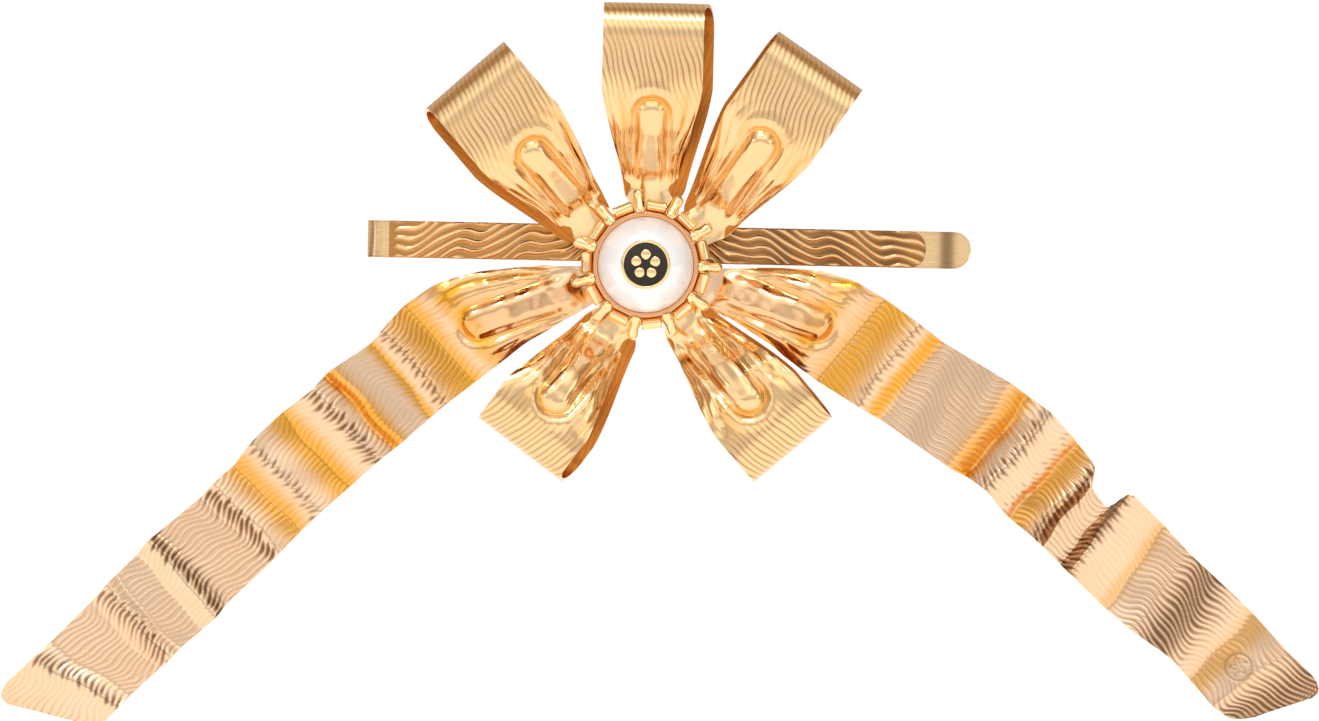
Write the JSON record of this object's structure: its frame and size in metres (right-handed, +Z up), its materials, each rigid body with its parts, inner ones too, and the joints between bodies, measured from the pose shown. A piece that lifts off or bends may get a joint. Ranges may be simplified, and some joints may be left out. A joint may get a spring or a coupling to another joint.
{
  "type": "barrette",
  "caption": "Gold-toned hair slide: a spring clip with an engraved bar, a bow of folded and crinkled metal ribbons with long tails, and a pearl in a clawed collar.",
  "frame": {"origin": "middle of the clip's grip gap, half way up the bar and straight behind the pearl's vertical centre line", "axes": "+X along the clip towards its open end, +Z up as worn, -Y forward out of the bow's face"},
  "size_m": [0.1506, 0.013, 0.0841],
  "materials": {
    "ribbon_gold": "embossed and combed gold plate",
    "clip_gold": "plain polished gold plate",
    "engraved_gold": "gold plate engraved with wavy lines",
    "plain_gold": "plain gold plate",
    "collar_gold": "bright polished gold plate",
    "pearl_white": "nacre lustre",
    "black_enamel": "glossy enamel"
  },
  "bodies": {
    "slide": {"top_loop": "ribbon_gold", "upper_left_loop": "ribbon_gold", "upper_right_loop": "ribbon_gold", "lower_left_loop": "ribbon_gold", "lower_right_loop": "ribbon_gold", "left_tail": "ribbon_gold", "right_tail": "ribbon_gold", "clip_upper_leaf": "clip_gold", "cover_bar": "engraved_gold", "backing_plate": "plain_gold", "bow_rivets": "plain_gold", "tang_spacer": "plain_gold", "pearl_cup": "collar_gold", "claw_prongs": "collar_gold", "collar_bars": "collar_gold", "pearl": "pearl_white", "pearl_peg": "plain_gold", "emblem_badge": "collar_gold", "emblem_enamel": "black_enamel", "emblem_flower": "collar_gold"},
    "leg": {"clip_lower_leg": "clip_gold"}
  },
  "joints": [
    {"name": "clip_leg", "type": "hinge", "parent": "slide", "child": "leg", "pos_m": [-0.0308, 0.0015, 0], "axis": [0, 0, 1], "range_deg": [0, 12], "stiffness_Nm_per_rad": 0.15, "springref_deg": -5.73}
  ]
}
